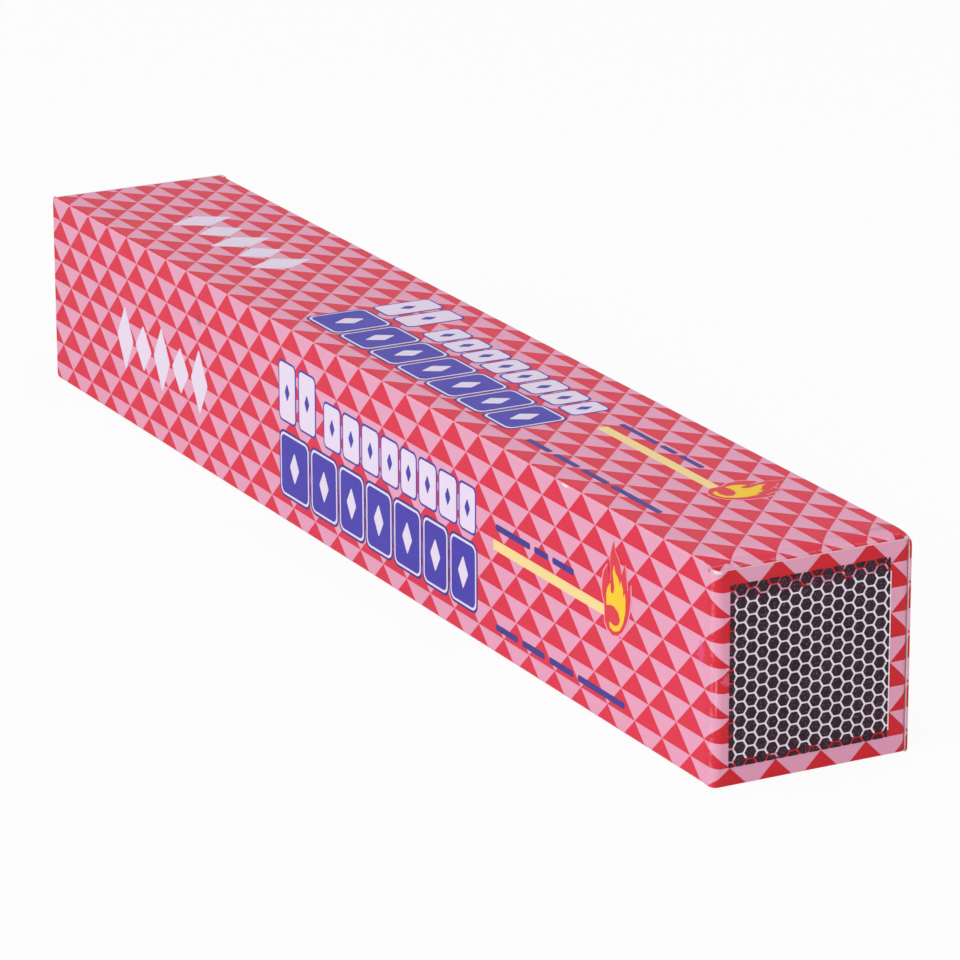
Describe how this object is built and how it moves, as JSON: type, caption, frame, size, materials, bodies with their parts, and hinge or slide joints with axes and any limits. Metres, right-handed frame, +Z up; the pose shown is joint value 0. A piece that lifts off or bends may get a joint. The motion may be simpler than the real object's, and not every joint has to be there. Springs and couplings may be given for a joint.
{
  "type": "matchbox",
  "caption": "Long square folding carton of fireplace matches with a hinged tuck flap at each end, a striking patch on one flap, and long matches inside.",
  "frame": {"origin": "on the surface that the box rests on, under the middle of its outline", "axes": "+Y along the box to the plain end, so the striking patch faces -Y; +Z up; +X to the right of one who looks at the striking patch"},
  "size_m": [0.041, 0.2902, 0.042],
  "materials": {
    "printed_board": "varnished folding boxboard, red and pink triangle print outside, white inside",
    "striking_patch": "dark brown abrasive dots, matt and slightly glittering",
    "match": "plain sawn aspen splint, head dipped in matt dark red composition"
  },
  "bodies": {
    "carton": {"carton_sleeve": "printed_board", "match_01": "match", "match_02": "match", "match_03": "match", "match_04": "match", "match_05": "match", "match_06": "match", "match_07": "match", "match_08": "match", "match_09": "match", "match_10": "match", "match_11": "match", "match_12": "match", "match_13": "match", "match_14": "match", "match_15": "match", "match_16": "match", "match_17": "match", "match_18": "match", "match_19": "match", "match_20": "match", "match_21": "match", "match_22": "match", "match_23": "match", "match_24": "match", "match_25": "match", "match_26": "match", "match_27": "match", "match_28": "match", "match_29": "match", "match_30": "match", "match_31": "match", "match_32": "match", "match_33": "match", "match_34": "match", "match_35": "match", "match_36": "match", "match_37": "match", "match_38": "match", "match_39": "match", "match_40": "match"},
    "striker_flap": {"striker_end_flap": "printed_board", "striking_patch": "striking_patch"},
    "plain_flap": {"plain_end_flap": "printed_board"}
  },
  "joints": [
    {"name": "striker_flap_hinge", "type": "hinge", "parent": "carton", "child": "striker_flap", "pos_m": [-0.0205, -0.14194, 0.021], "axis": [0, 0, -1], "range_deg": [0, 170]},
    {"name": "plain_flap_hinge", "type": "hinge", "parent": "carton", "child": "plain_flap", "pos_m": [0.0205, 0.14206, 0.021], "axis": [0, 0, -1], "range_deg": [0, 170]}
  ]
}
